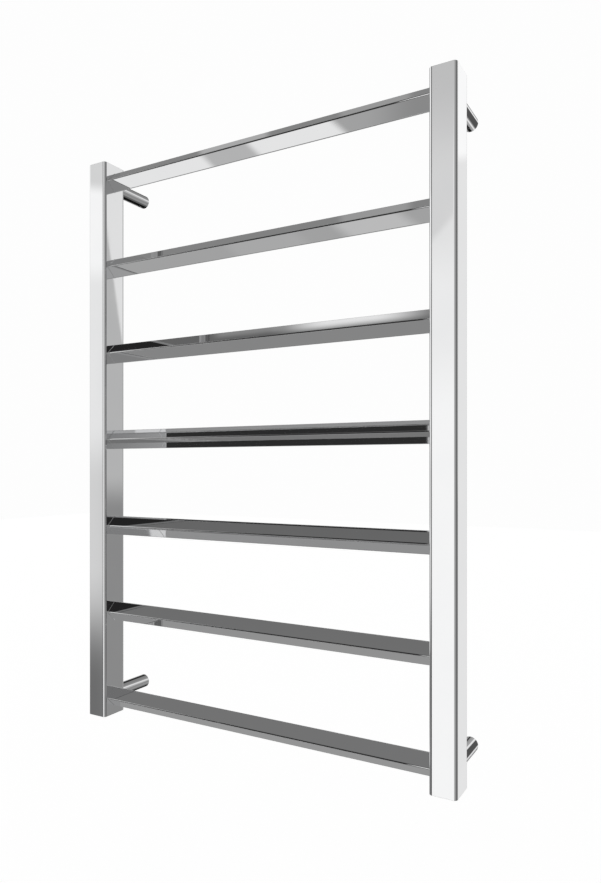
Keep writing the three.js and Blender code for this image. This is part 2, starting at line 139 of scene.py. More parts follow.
class Skin:
    """A mesh in the making. Each point has its own normal, so flats stay true beside round corners."""

    def __init__(self):
        self.points = []
        self.normals = []
        self.faces = []
        self.face_normals = []

    def ring(self, spots):
        """Adds (point, normal) pairs and gives their numbers."""
        start = len(self.points)
        for point, normal in spots:
            self.points.append(Vector(point))
            self.normals.append(Vector(normal).normalized())
        return list(range(start, len(self.points)))

    def face(self, corners, normal=None):
        self.faces.append(tuple(corners))
        self.face_normals.append(normal)

    def band(self, first, second, skip=(), normal=None):
        """Quads between two closed rings with as many points."""
        count = len(first)
        for index in range(count):
            if index in skip:
                continue
            after = (index + 1) % count
            corners = (first[index], first[after], second[after], second[index])
            self.face(corners, normal)

    def bands(self, rings, normal=None):
        for first, second in zip(rings, rings[1:]):
            self.band(first, second, normal=normal)

    def build(self, name, material):
        """Makes the object."""
        shape = bmesh.new()
        corners = [shape.verts.new(point) for point in self.points]
        for face in self.faces:
            shape.faces.new([corners[index] for index in face]).smooth = True
        mesh = bpy.data.meshes.new(name)
        shape.to_mesh(mesh)
        shape.free()
        loops = []
        for face, normal in zip(self.faces, self.face_normals):
            loops.extend(self.normals[index] if normal is None else normal for index in face)
        mesh.normals_split_custom_set(loops)
        mesh.materials.append(material)
        piece = bpy.data.objects.new(name, mesh)
        bpy.context.scene.collection.objects.link(piece)
        return piece


def settle(piece, slot, *nodes):
    """The piece rides on the rail's one body and stands for the CAD nodes."""
    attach(piece, "root")
    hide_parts(*nodes)
    return piece


def rounded_rectangle(width, height, radius, steps=CORNER_STEPS):
    """(point, outward normal) pairs in the plane, anticlockwise from the +u end of the +v side's corner."""
    outline = []
    for quarter, (u_sign, v_sign) in enumerate([(1, 1), (-1, 1), (-1, -1), (1, -1)]):
        centre = Vector((u_sign * (width / 2 - radius), v_sign * (height / 2 - radius)))
        for step in range(steps + 1):
            angle = (quarter + step / steps) * math.pi / 2
            normal = Vector((math.cos(angle), math.sin(angle)))
            outline.append((centre + radius * normal, normal))
    return outline


def flat_side(number, steps=CORNER_STEPS):
    """Where a rounded rectangle's flat starts in its outline: 0 is +v, 1 is -u, 2 is -v and 3 is +u."""
    return number * (steps + 1) + steps


class Section:
    """A place to stand outlines along an axis: u and v across it, w along it."""

    def __init__(self, origin, u, v):
        self.origin = Vector(origin)
        self.u = Vector(u).normalized()
        self.v = Vector(v).normalized()
        self.w = self.u.cross(self.v)

    def spots(self, outline, along, lean=0.0, inward=False):
        """The outline at a distance along w. lean turns its normals from the outline towards +w."""
        sign = -1 if inward else 1
        placed = []
        for point, normal in outline:
            across = self.u * normal.x + self.v * normal.y
            turned = across * (sign * math.cos(lean)) + self.w * math.sin(lean)
            placed.append((self.origin + self.u * point.x + self.v * point.y + self.w * along, turned))
        return placed


def quarter_turns(steps):
    return [math.pi / 2 * step / steps for step in range(steps + 1)]


# ---------------------------------------------------------------- holes in flat walls


def hole_ring(skin, centre, across, up, outward, radius, depth, lean):
    """A ring of a hole's edge, depth below the wall. lean turns its normals from the wall's to the hole's."""
    spots = []
    for step in range(HOLE_STEPS):
        angle = 2 * math.pi * step / HOLE_STEPS
        radial = across * math.cos(angle) + up * math.sin(angle)
        normal = outward * math.cos(lean) - radial * math.sin(lean)
        spots.append((centre + radial * radius - outward * depth, normal))
    return skin.ring(spots)


def drill(skin, patches, centre, across, up, outward, radius, wall):
    """Joins the two faces of a wall by a round hole. patches are the four corners on each face."""
    rings = []
    for lean in quarter_turns(LIP_STEPS):
        reach = radius + LIP * (1 - math.sin(lean))
        rings.append(hole_ring(skin, centre, across, up, outward, reach, LIP * (1 - math.cos(lean)), lean))
    for lean in reversed(quarter_turns(LIP_STEPS)):
        reach = radius + LIP * (1 - math.sin(lean))
        depth = wall - LIP * (1 - math.cos(lean))
        rings.append(hole_ring(skin, centre, across, up, outward, reach, depth, math.pi - lean))
    skin.bands(rings)
    quarter = HOLE_STEPS // 4
    for ring, corners, facing in ((rings[0], patches[0], 1), (rings[-1], patches[1], -1)):
        for number, corner in enumerate(corners):
            for step in range(number * quarter, (number + 1) * quarter):
                face = (ring[step], corner, ring[(step + 1) % HOLE_STEPS])
                skin.face(face[::facing])
            after = corners[(number + 1) % 4]
            face = (corner, after, ring[(number + 1) * quarter % HOLE_STEPS])
            skin.face(face[::facing])


# ---------------------------------------------------------------- uprights


def end_lip(skin, section, size, corner, along, end, inward):
    """Rings that round a tube's edge over to its cut end, from the wall to the end."""
    rings = []
    for lean in quarter_turns(LIP_STEPS):
        inset = LIP * (1 - math.cos(lean)) * (-1 if inward else 1)
        outline = rounded_rectangle(size[0] - 2 * inset, size[1] - 2 * inset, corner - inset)
        place = along - end * LIP * (1 - math.sin(lean))
        rings.append(skin.ring(section.spots(outline, place, end * lean, inward)))
    return rings


def upright(side_name, material):
    """A rectangular tube with its cable holes towards the bars and its spigot holes towards the wall."""
    low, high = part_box(f"{side_name}_upright")
    middle = (low + high) / 2
    size = (high.x - low.x, high.y - low.y)
    bore = (size[0] - 2 * UPRIGHT_WALL, size[1] - 2 * UPRIGHT_WALL)
    section = Section((middle.x, middle.y, 0), X_AXIS, Y_AXIS)
    inner_side = 1 if middle.x > 0 else 3
    to_bars = -X_AXIS if middle.x > 0 else X_AXIS
    skin = Skin()

    bar_heights = sorted(sum(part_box(bar), Vector()).z / 2 for bar in BARS)
    levels = [low.z + LIP]
    for height in bar_heights:
        levels += [height - HOLE_PATCH, height + HOLE_PATCH]
    levels.append(high.z - LIP)

    spigots = {}
    for end_name, number in (("bottom", 0), ("top", len(bar_heights) - 1)):
        spigot_low, spigot_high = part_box(f"{end_name}_{side_name}_spigot")
        spigots[number] = (spigot_low + spigot_high) / 2

    faces = []
    for inward, (outline_size, corner) in enumerate(((size, UPRIGHT_CORNER), (bore, UPRIGHT_BORE_CORNER))):
        outline = rounded_rectangle(*outline_size, corner)
        bottom = end_lip(skin, section, outline_size, corner, low.z, -1, inward)
        top = end_lip(skin, section, outline_size, corner, high.z, 1, inward)
        rings = [bottom[0]]
        rings += [skin.ring(section.spots(outline, level, 0, inward)) for level in levels[1:-1]]
        rings.append(top[0])
        faces.append((rings, top, bottom))

    for number in range(len(levels) - 1):
        bar_number = (number - 1) // 2
        at_bar = number % 2 == 1
        holes = []
        if at_bar:
            centre = Vector((middle.x + to_bars.x * size[0] / 2, middle.y, bar_heights[bar_number]))
            holes.append((inner_side, centre, to_bars, CABLE_HOLE / 2))
        if at_bar and bar_number in spigots:
            spigot = spigots[bar_number]
            holes.append((0, Vector((spigot.x, high.y, spigot.z)), Y_AXIS, SPIGOT_HOLE / 2))
        skip = [flat_side(hole[0]) for hole in holes]
        outer, inner = faces[0][0], faces[1][0]
        skin.band(outer[number], outer[number + 1], skip)
        skin.band(inner[number + 1], inner[number], skip)
        for side, centre, outward, radius in holes:
            start = flat_side(side)
            after = (start + 1) % len(outer[number])
            patches = []
            for wall in (outer, inner):
                lower, upper = wall[number], wall[number + 1]
                patches.append((upper[after], upper[start], lower[start], lower[after]))
            across = Z_AXIS.cross(outward)
            drill(skin, patches, centre, across, Z_AXIS, outward, radius, UPRIGHT_WALL)

    for end, outer_rings, inner_rings in ((1, faces[0][1], faces[1][1]), (-1, faces[0][2], faces[1][2])):
        rings = outer_rings + inner_rings[::-1]
        skin.bands(rings if end > 0 else rings[::-1])
    return settle(skin.build(f"{side_name}_upright_tube", material), "polished_steel", f"{side_name}_upright")


def end_plate(end_name, side_name, material):
    """The plate set in an upright's end, ground flush, with a hairline seam round it."""
    node = f"{end_name}_{side_name}_end_plate"
    low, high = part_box(node)
    middle = (low + high) / 2
    upright_low, upright_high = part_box(f"{side_name}_upright")
    bore = upright_high - upright_low - Vector((2, 2, 0)) * UPRIGHT_WALL
    size = (bore.x - 2 * PLATE_SEAM, bore.y - 2 * PLATE_SEAM)
    corner = UPRIGHT_BORE_CORNER - PLATE_SEAM
    section = Section((middle.x, middle.y, 0), X_AXIS, Y_AXIS)
    skin = Skin()
    bottom = end_lip(skin, section, size, corner, low.z, -1, False)
    top = end_lip(skin, section, size, corner, high.z, 1, False)
    rings = bottom[::-1] + top
    skin.bands(rings)
    skin.face(rings[-1])
    skin.face(rings[0][::-1])
    return settle(skin.build(f"{node}_ground", material), "polished_steel", node)


# ---------------------------------------------------------------- bars


def bar(node, material):
    """A square tube on edge, with a small polished weld fillet at both ends."""
    low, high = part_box(node)
    middle = (low + high) / 2
    height = high.z - low.z
    side = (height - 2 * BAR_CORNER) / math.sqrt(2) + 2 * BAR_CORNER
    inner_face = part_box("right_upright")[0].x - TOUCH
    section = Section((0, middle.y, middle.z), Y_AXIS + Z_AXIS, Z_AXIS - Y_AXIS)
    skin = Skin()

    outside = []
    for end in (-1, 1):
        fillet = []
        for lean in quarter_turns(FILLET_STEPS):
            outset = BAR_FILLET * (1 - math.cos(lean))
            outline = rounded_rectangle(side + 2 * outset, side + 2 * outset, BAR_CORNER + outset)
            along = end * (inner_face - BAR_FILLET * (1 - math.sin(lean)))
            fillet.append(skin.ring(section.spots(outline, along, -end * lean)))
        outside += fillet[::-1] if end < 0 else fillet
    skin.bands(outside)

    bore = side - 2 * BAR_WALL
    outline = rounded_rectangle(bore, bore, BAR_BORE_CORNER)
    inside = [skin.ring(section.spots(outline, end * inner_face, 0, True)) for end in (1, -1)]
    skin.bands(inside)
    skin.band(outside[-1], inside[0], normal=X_AXIS)
    skin.band(inside[1], outside[0], normal=-X_AXIS)
    return settle(skin.build(f"{node}_tube", material), "polished_steel", node)


# ---------------------------------------------------------------- turned pieces


def circle(radius, steps=TURNED_STEPS):
    outline = []
    for step in range(steps):
        angle = 2 * math.pi * step / steps
        normal = Vector((math.cos(angle), math.sin(angle)))
        outline.append((normal * radius, normal))
    return outline


def rounded_profile(corners, closed=True):
    """(radius, along, lean) stations of a turned outline, from (radius, along, rounding) corners.

    The outline goes up its outside. lean turns a normal from outward to the far end. An open outline
    starts and ends on a flat end, which is closed by a disc.
    """
    stations = []
    count = len(corners)
    for index, (radius, along, rounding) in enumerate(corners):
        here = Vector((radius, along))
        before = Vector(corners[index - 1][:2])
        after = Vector(corners[(index + 1) % count][:2])
        if not closed and index == 0:
            before = Vector((0, along))
        if not closed and index == count - 1:
            after = Vector((0, along))
        coming = (here - before).normalized()
        going = (after - here).normalized()
        turn = math.atan2(coming.cross(going), coming.dot(going))
        reach = rounding * math.tan(abs(turn) / 2)
        bend = math.copysign(1, turn)
        lean = math.atan2(-coming.x, coming.y)
        centre = here - coming * reach - Vector((coming.y, -coming.x)) * rounding * bend
        for step in range(LIP_STEPS + 1):
            angle = lean + turn * step / LIP_STEPS
            spot = centre + Vector((math.cos(angle), math.sin(angle))) * rounding * bend
            stations.append((spot.x, spot.y, angle))
    return stations


class Thread:
    """A rolled thread on the stretch of a turned outline from one height to another."""

    def __init__(self, start, end, pitch, depth):
        self.start = start
        self.end = end
        self.pitch = pitch
        self.depth = depth

    def levels(self):
        steps = round((self.end - self.start) / self.pitch * THREAD_STEPS)
        return [self.start + (self.end - self.start) * step / steps for step in range(steps + 1)]

    def radius(self, radius, along, angle):
        run_out = min(along - self.start, self.end - along) / self.pitch
        share = min(max(run_out, 0), 1)
        phase = 2 * math.pi * along / self.pitch - angle
        return radius - self.depth * share * (0.5 - 0.5 * math.cos(phase))


def thread_ring(skin, section, thread, radius, along, steps):
    spots = []
    nudge = 1e-6
    for step in range(steps):
        angle = 2 * math.pi * step / steps

        def place(height, turn):
            reach = thread.radius(radius, height, turn)
            outward = section.u * math.cos(turn) + section.v * math.sin(turn)
            return outward * reach + section.w * height

        here = place(along, angle)
        round_about = place(along, angle + nudge) - here
        upward = place(along + nudge, angle) - here
        spots.append((section.origin + here, round_about.cross(upward)))
    return skin.ring(spots)


def lathe_rings(skin, section, stations, steps=TURNED_STEPS, thread=None):
    rings = []
    for index, (radius, along, lean) in enumerate(stations):
        if thread and index and stations[index - 1][1] <= thread.start and along >= thread.end:
            for level in thread.levels():
                rings.append(thread_ring(skin, section, thread, radius, level, steps))
        rings.append(skin.ring(section.spots(circle(radius, steps), along, lean)))
    return rings


def lathe(name, section, corners, material, closed=True, steps=TURNED_STEPS, thread=None):
    """A turned piece from (radius, along, rounding) corners along the section's w."""
    skin = Skin()
    rings = lathe_rings(skin, section, rounded_profile(corners, closed), steps, thread)
    skin.bands(rings)
    if closed:
        skin.band(rings[-1], rings[0])
    else:
        skin.face(rings[0][::-1])
        skin.face(rings[-1])
    return skin.build(name, material)


# ---------------------------------------------------------------- stand-offs


def standoff_section(place):
    """Across the stand-off from its axis; w points into the wall and is zero on it."""
    low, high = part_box(f"{place}_standoff_barrel")
    middle = (low + high) / 2
    return Section((middle.x, 0, middle.z), Z_AXIS, X_AXIS)


def grub_hole(skin, section, outer, inner, outer_radius, inner_radius, columns):
    """Joins two blocks of a barrel's wall, each a list of rings, by a round hole on its underside."""
    size = len(outer) - 1
    middle = -GRUB_FROM_WALL
    count = 4 * size
    angles = [math.radians(225) + 2 * math.pi * step / count for step in range(count)]

    def spot(across, along, radius, sign, depth=0.0, toward=Vector((0, 0)), lean=0.0):
        drop = math.sqrt(radius * radius - across * across)
        point = section.origin - section.v * across + section.w * along - section.u * (drop - sign * depth)
        surface = (-section.v * across - section.u * drop) / radius * sign
        side = section.w * toward.y - section.v * toward.x
        return point, surface * math.cos(lean) - side * math.sin(lean)

    def perimeter(rings):
        first, last = columns
        edge = [rings[0][first + step] for step in range(size)]
        edge += [rings[step][last] for step in range(size)]
        edge += [rings[size][last - step] for step in range(size)]
        return edge + [rings[size - step][first] for step in range(size)]

    chain = []
    for rings, radius, sign in ((outer, outer_radius, 1), (inner, inner_radius, -1)):
        edge = perimeter(rings)
        web = [edge]
        for share in (0.35, 0.7, 1.0):
            spots = []
            for number, angle in zip(edge, angles):
                offset = skin.points[number] - section.origin
                start = Vector((-offset.dot(section.v), offset.dot(section.w)))
                rim = Vector((math.cos(angle), math.sin(angle))) * (GRUB_HOLE / 2 + LIP) + Vector((0, middle))
                there = start.lerp(rim, share)
                spots.append(spot(there.x, there.y, radius, sign))
            web.append(skin.ring(spots))
        for lean in quarter_turns(LIP_STEPS)[1:]:
            reach = GRUB_HOLE / 2 + LIP * (1 - math.sin(lean))
            spots = []
            for angle in angles:
                toward = Vector((math.cos(angle), math.sin(angle)))
                depth = LIP * (1 - math.cos(lean))
                across, along = toward.x * reach, toward.y * reach + middle
                spots.append(spot(across, along, radius, sign, depth, toward, lean))
            web.append(skin.ring(spots))
        chain += web if sign > 0 else web[::-1]
    skin.bands(chain)


def barrel(place, material):
    """The polished tube from the upright to the wall, with the grub screw's hole below."""
    node = f"{place}_standoff_barrel"
    low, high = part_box(node)
    section = standoff_section(place)
    radius = (high.x - low.x) / 2
    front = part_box("left_upright")[1].y + TOUCH
    socket = radius - BARREL_SOCKET_WALL
    seat = radius - COLLAR_WALL
    collar_end = front + FIT_GAP + SPIGOT_COLLAR_HEIGHT + FIT_GAP
    stem_end = collar_end + SPIGOT_STEM_LENGTH + FIT_GAP
    stem = SPIGOT_STEM / 2 + FIT_GAP
    fine = 0.1 * MM

    middle = -GRUB_FROM_WALL
    rows = [middle + GRUB_PATCH * (2 * step / GRUB_BLOCK - 1) for step in range(GRUB_BLOCK + 1)]
    outside = rounded_profile([
        (radius, front, BARREL_CHAMFER),
        (radius, 0, BARREL_CHAMFER),
        (socket, 0, 2 * fine),
        (socket, -BARREL_SOCKET_DEPTH, fine),
        (BARREL_PASSAGE / 2, -BARREL_SOCKET_DEPTH, fine),
        (BARREL_PASSAGE / 2, stem_end, fine),
        (stem, stem_end, fine),
        (stem, collar_end, fine),
        (seat, collar_end, fine),
        (seat, front, 2 * fine),
    ])
    corner = LIP_STEPS + 1
    skin = Skin()
    lower = lathe_rings(skin, section, outside[:corner])
    outer_block = lathe_rings(skin, section, [(radius, row, 0) for row in rows])
    rim = lathe_rings(skin, section, outside[corner:3 * corner])
    inner_block = lathe_rings(skin, section, [(socket, row, math.pi) for row in rows])
    rest = lathe_rings(skin, section, outside[3 * corner:])

    first = TURNED_STEPS // 2 - GRUB_BLOCK // 2
    columns = (first, first + GRUB_BLOCK)
    hole_columns = range(*columns)
    skin.bands(lower + outer_block[:1])
    for number in range(GRUB_BLOCK):
        skin.band(outer_block[number], outer_block[number + 1], hole_columns)
        skin.band(inner_block[number + 1], inner_block[number], hole_columns)
    skin.bands(outer_block[-1:] + rim + inner_block[-1:])
    skin.bands(inner_block[:1] + rest + lower[:1])
    grub_hole(skin, section, outer_block, inner_block, radius, socket, columns)
    return settle(skin.build(f"{node}_polished", material), "polished_steel", node)


def spigot(place, material):
    """The hollow threaded stub in the upright's rear wall."""
    node = f"{place}_spigot"
    low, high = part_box(node)
    section = standoff_section(place)
    collar = (high.x - low.x) / 2
    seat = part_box(f"{place}_standoff_barrel")[0].y
    collar_end = seat + SPIGOT_COLLAR_HEIGHT
    fine = 0.15 * MM
    corners = [
        (SPIGOT_NECK / 2, low.y, 2 * fine),
        (SPIGOT_NECK / 2, seat, fine),
        (collar, seat, fine),
        (collar, collar_end, 2 * fine),
        (SPIGOT_STEM / 2, collar_end, fine),
        (SPIGOT_STEM / 2, high.y, 4 * fine),
        (SPIGOT_BORE / 2, high.y, 2 * fine),
        (SPIGOT_BORE / 2, low.y, 2 * fine),
    ]
    thread = Thread(collar_end + 2 * fine, high.y - 6 * fine, SPIGOT_PITCH, SPIGOT_THREAD)
    piece = lathe(f"{node}_turned", section, corners, material, thread=thread)
    return settle(piece, "plain_steel", node)


def cut(piece, cutters):
    """Cuts the cutters out of the piece and removes them."""
    for cutter in cutters:
        modifier = piece.modifiers.new("cut", "BOOLEAN")
        modifier.operation = "DIFFERENCE"
        modifier.solver = "EXACT"
        modifier.object = cutter
    shaped = bpy.data.meshes.new_from_object(piece.evaluated_get(bpy.context.evaluated_depsgraph_get()))
    piece.modifiers.clear()
    piece.data = shaped
    for cutter in cutters:
        bpy.data.objects.remove(cutter)
    shaped.shade_smooth()
    shaped.set_sharp_from_angle(angle=math.radians(SHARP_ANGLE))
    return piece


def prism(name, section, outline, start, end, material):
    """A closed extrusion of a plane outline along the section's w."""
    skin = Skin()
    rings = [skin.ring(section.spots(outline, along)) for along in (start, end)]
    skin.bands(rings)
    skin.face(rings[0][::-1], -section.w)
    skin.face(rings[1], section.w)
    return skin.build(name, material)


def wall_boss(place, material):
    """The boss that is screwed to the wall. The supply's boss has a slot above a lowered screw."""
    node = f"{place}_wall_boss"
    low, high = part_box(node)
    section = standoff_section(place)
    radius = (high.x - low.x) / 2
    groove = radius - BOSS_GROOVE_DEPTH
    groove_front = -GRUB_FROM_WALL - BOSS_GROOVE_WIDTH / 2
    groove_back = -GRUB_FROM_WALL + BOSS_GROOVE_WIDTH / 2
    fine = 0.1 * MM
    body = lathe(f"{node}_turned", section, [
        (radius, low.y, 4 * fine),
        (radius, groove_front, fine),
        (groove, groove_front, fine),
        (groove, groove_back, fine),
        (radius, groove_back, fine),
        (radius, high.y, 2 * fine),
    ], material, closed=False)

    drop = 0
    cutters = []
    over = 1 * MM
    if place == SUPPLY_PLACE:
        drop = radius - WALL_SCREW_HEAD / 2 - CABLE_BOSS_RIM
        rise = WALL_SCREW_HEAD / 2 - drop + CABLE_SLOT_WEB + SUPPLY_CABLE / 2
        slot = rounded_rectangle(2 * (radius - rise) + SUPPLY_CABLE, SUPPLY_CABLE, SUPPLY_CABLE / 2 - fine)
        centre = Section(section.origin + Z_AXIS * radius, Z_AXIS, X_AXIS)
        cutters.append(prism("slot", centre, slot, low.y - over, over, material))
    axis = Section(section.origin - Z_AXIS * drop, Z_AXIS, X_AXIS)
    seat = low.y + WALL_SCREW_HEAD_DEPTH
    cone = (WALL_SCREW_HEAD - WALL_SCREW_HOLE) / 2
    cutters.append(lathe("screw_hole", axis, [
        (WALL_SCREW_HEAD / 2, low.y - over, 0),
        (WALL_SCREW_HEAD / 2, seat - cone, fine),
        (WALL_SCREW_HOLE / 2, seat, fine),
        (WALL_SCREW_HOLE / 2, over, 0),
    ], material, closed=False, steps=TURNED_STEPS // 2))
    return settle(cut(body, cutters), "plain_steel", node)


def flat_band(skin, first, second, closed=True):
    """Quads between two rings, each with its own flat normal."""
    count = len(first)
    for index in range(count if closed else count - 1):
        after = (index + 1) % count
        corners = (first[index], first[after], second[after], second[index])
        points = [skin.points[number] for number in corners]
        normal = (points[2] - points[0]).cross(points[3] - points[1]).normalized()
        skin.face(corners, normal)


def hexagon(flats, steps):
    """A hexagon as a ring of evenly turned points, with flats across."""
    outline = []
    for step in range(6 * steps):
        angle = 2 * math.pi * step / (6 * steps)
        off = (angle + math.pi / 6) % (math.pi / 3) - math.pi / 6
        normal = Vector((math.cos(angle), math.sin(angle)))
        outline.append((normal * (flats / 2 / math.cos(off)), normal))
    return outline


def grub_screw(place, material):
    """A threaded grub screw with a hexagon socket in its lower end."""
    node = f"{place}_grub_screw"
    low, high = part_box(node)
    middle = (low + high) / 2
    section = Section((middle.x, middle.y, 0), X_AXIS, Y_AXIS)
    radius = GRUB_DIAMETER / 2
    fine = 0.15 * MM
    skin = Skin()
    steps = 48
    stations = rounded_profile([(radius, low.z, 2 * fine), (radius, high.z, 3 * fine)], closed=False)
    thread = Thread(low.z + 2 * fine, high.z - 3 * fine, GRUB_PITCH, GRUB_THREAD)
    rings = lathe_rings(skin, section, stations, steps, thread)
    skin.bands(rings)
    skin.face(rings[-1])
    socket = hexagon(GRUB_SOCKET, steps // 6)
    mouth = skin.ring(section.spots(socket, low.z))
    floor = skin.ring(section.spots(socket, low.z + GRUB_SOCKET_DEPTH))
    skin.band(mouth, rings[0], normal=-Z_AXIS)
    flat_band(skin, floor, mouth)
    skin.face(floor[::-1], -Z_AXIS)
    return settle(skin.build(f"{node}_threaded", material), "black_steel", node)


# ---------------------------------------------------------------- node trees


class Nodes:
    """Short ways to add nodes to a material's or a world's tree."""

    def __init__(self, owner):
        owner.use_nodes = True
        self.tree = owner.node_tree

    def add(self, kind, inputs=(), **settings):
        """Adds a node. inputs pairs a socket's name or number with a value or with an output to link."""
        node = self.tree.nodes.new(kind)
        for name, value in settings.items():
            setattr(node, name, value)
        for socket, value in dict(inputs).items():
            if isinstance(value, bpy.types.NodeSocket):
                self.tree.links.new(value, node.inputs[socket])
            else:
                node.inputs[socket].default_value = value
        return node

    def math(self, operation, *values):
        return self.add("ShaderNodeMath", dict(enumerate(values)), operation=operation).outputs[0]

    def remap(self, value, low, high, start, end, smooth=False):
        """Takes a value from low..high to start..end, and holds it there outside."""
        inputs = {"Value": value, "From Min": low, "From Max": high, "To Min": start, "To Max": end}
        curve = "SMOOTHSTEP" if smooth else "LINEAR"
        return self.add("ShaderNodeMapRange", inputs, interpolation_type=curve).outputs["Result"]

    def noise(self, scale, stretch=(1, 1, 1), detail=2.0):
        """Noise on the piece's own coordinates, in metres. stretch multiplies the scale along each axis."""
        place = self.add("ShaderNodeTexCoord").outputs["Object"]
        mapping = self.add("ShaderNodeMapping", {"Vector": place, "Scale": stretch})
        inputs = {"Vector": mapping.outputs["Vector"], "Scale": scale, "Detail": detail}
        return self.add("ShaderNodeTexNoise", inputs).outputs[0]

    def blend(self, factor, first, second):
        """A colour between two others."""
        inputs = {"Factor": factor, 6: (*first, 1), 7: (*second, 1)}
        return self.add("ShaderNodeMix", inputs, data_type="RGBA").outputs[2]

    def bump(self, height, depth, strength=1.0, under=None):
        """A relief, depth metres from its lowest to its highest point, on top of another."""
        inputs = {"Height": height, "Distance": depth, "Strength": strength}
        if under is not None:
            inputs["Normal"] = under
        return self.add("ShaderNodeBump", inputs).outputs["Normal"]


def finish(name, build, metallic):
    """A material whose colour, roughness and relief come from build(nodes)."""
    material = bpy.data.materials.new(name)
    nodes = Nodes(material)
    surface = nodes.tree.nodes["Principled BSDF"]
    surface.inputs["Metallic"].default_value = metallic
    for socket, output in build(nodes).items():
        nodes.tree.links.new(output, surface.inputs[socket])
    return material


# ---------------------------------------------------------------- materials


def polished_steel(name, grain):
    """Mirror-polished stainless steel, with the last traces of the buffing wheel along the grain."""

    def build(nodes):
        smudge = nodes.noise(22.0, detail=4.0)
        across = [1.0 if along else 40.0 for along in grain]
        hairlines = nodes.noise(45.0, across, 3.0)
        drawn = nodes.noise(7.0, [0.4 if along else 1.0 for along in grain], 1.0)
        wave = nodes.bump(drawn, 0.00003)
        return {
            "Base Color": nodes.blend(smudge, (0.86, 0.865, 0.875), (0.91, 0.91, 0.91)),
            "Roughness": nodes.math("ADD", nodes.remap(smudge, 0.35, 0.75, 0.008, 0.028),
                                    nodes.remap(hairlines, 0.3, 0.7, 0.0, 0.006)),
            "Normal": nodes.bump(hairlines, 0.0000004, 1.0, wave),
        }

    return finish(name, build, 1.0)


def turned_steel(name):
    """Stainless steel as it comes off the lathe, with its feed lines round the stand-off's axis."""

    def build(nodes):
        feed = nodes.noise(60.0, (1.0, 60.0, 1.0), 2.0)
        stain = nodes.noise(90.0, detail=4.0)
        return {
            "Base Color": nodes.blend(stain, (0.56, 0.56, 0.575), (0.68, 0.68, 0.68)),
            "Roughness": nodes.remap(feed, 0.3, 0.7, 0.22, 0.42),
            "Normal": nodes.bump(feed, 0.000012),
        }

    return finish(name, build, 1.0)


def black_oxide(name):
    """Blackened alloy steel, a little worn to brown."""

    def build(nodes):
        wear = nodes.noise(900.0, detail=4.0)
        share = nodes.remap(wear, 0.5, 0.8, 0.0, 1.0)
        return {
            "Base Color": nodes.blend(share, (0.05, 0.05, 0.055), (0.16, 0.14, 0.12)),
            "Roughness": nodes.remap(wear, 0.3, 0.7, 0.28, 0.5),
            "Normal": nodes.bump(wear, 0.00001),
        }

    return finish(name, build, 0.8)


def plain_brass(name):
    """Machined brass, dulled in patches."""

    def build(nodes):
        tarnish = nodes.noise(260.0, detail=5.0)
        share = nodes.remap(tarnish, 0.35, 0.75, 0.0, 1.0)
        return {
            "Base Color": nodes.blend(share, (0.78, 0.58, 0.27), (0.5, 0.34, 0.15)),
            "Roughness": nodes.remap(tarnish, 0.3, 0.7, 0.2, 0.42),
            "Normal": nodes.bump(tarnish, 0.000008),
        }

    return finish(name, build, 1.0)


def tinned_copper(name):
    """Copper under a thin, slightly matt coat of tin."""

    def build(nodes):
        coat = nodes.noise(420.0, detail=5.0)
        share = nodes.remap(coat, 0.6, 0.85, 0.0, 1.0)
        return {
            "Base Color": nodes.blend(share, (0.72, 0.7, 0.67), (0.62, 0.47, 0.37)),
            "Roughness": nodes.remap(coat, 0.3, 0.7, 0.28, 0.48),
            "Normal": nodes.bump(coat, 0.00001),
        }

    return finish(name, build, 1.0)


def moulded_rubber(name):
    """Black rubber with a dusty bloom."""

    def build(nodes):
        bloom = nodes.noise(240.0, detail=5.0)
        pores = nodes.noise(1600.0, detail=2.0)
        share = nodes.remap(bloom, 0.45, 0.8, 0.0, 1.0)
        return {
            "Base Color": nodes.blend(share, (0.022, 0.022, 0.023), (0.06, 0.058, 0.055)),
            "Roughness": nodes.remap(bloom, 0.3, 0.7, 0.62, 0.85),
            "Normal": nodes.bump(pores, 0.00003),
        }

    return finish(name, build, 0.0)


def red_silicone(name):
    """Extruded silicone with faint lines along its length and a dull skin."""

    def build(nodes):
        mottle = nodes.noise(150.0, detail=4.0)
        skin = nodes.noise(1300.0, detail=3.0)
        return {
            "Base Color": nodes.blend(mottle, (0.36, 0.06, 0.04), (0.5, 0.12, 0.08)),
            "Roughness": nodes.remap(mottle, 0.3, 0.7, 0.38, 0.6),
            "Normal": nodes.bump(skin, 0.00002),
        }

    return finish(name, build, 0.0)


def heat_shrink(name):
    """Shrunk polyolefin sleeve, puckered and half glossy."""

    def build(nodes):
        pucker = nodes.noise(170.0, (1.0, 1.0, 3.0), 3.0)
        grain = nodes.noise(1200.0, detail=2.0)
        return {
            "Base Color": nodes.blend(grain, (0.02, 0.02, 0.024), (0.045, 0.045, 0.05)),
            "Roughness": nodes.remap(pucker, 0.3, 0.7, 0.34, 0.58),
            "Normal": nodes.bump(grain, 0.000008, 1.0, nodes.bump(pucker, 0.0002)),
        }

    return finish(name, build, 0.0)


# ---------------------------------------------------------------- assembly

upright_steel = polished_steel("polished_steel_upright", (0, 0, 1))
bar_steel = polished_steel("polished_steel_bar", (1, 0, 0))
barrel_steel = polished_steel("polished_steel_barrel", (1, 0, 1))
lathe_steel = turned_steel("turned_steel")
screw_steel = black_oxide("black_oxide")

FINISHES = {
    "plain_steel": lathe_steel,
    "black_steel": screw_steel,
    "brass": plain_brass("plain_brass"),
    "tinned_copper": tinned_copper("tinned_copper"),
    "rubber": moulded_rubber("moulded_rubber"),
    "silicone": red_silicone("red_silicone"),
    "heat_shrink": heat_shrink("heat_shrink"),
}

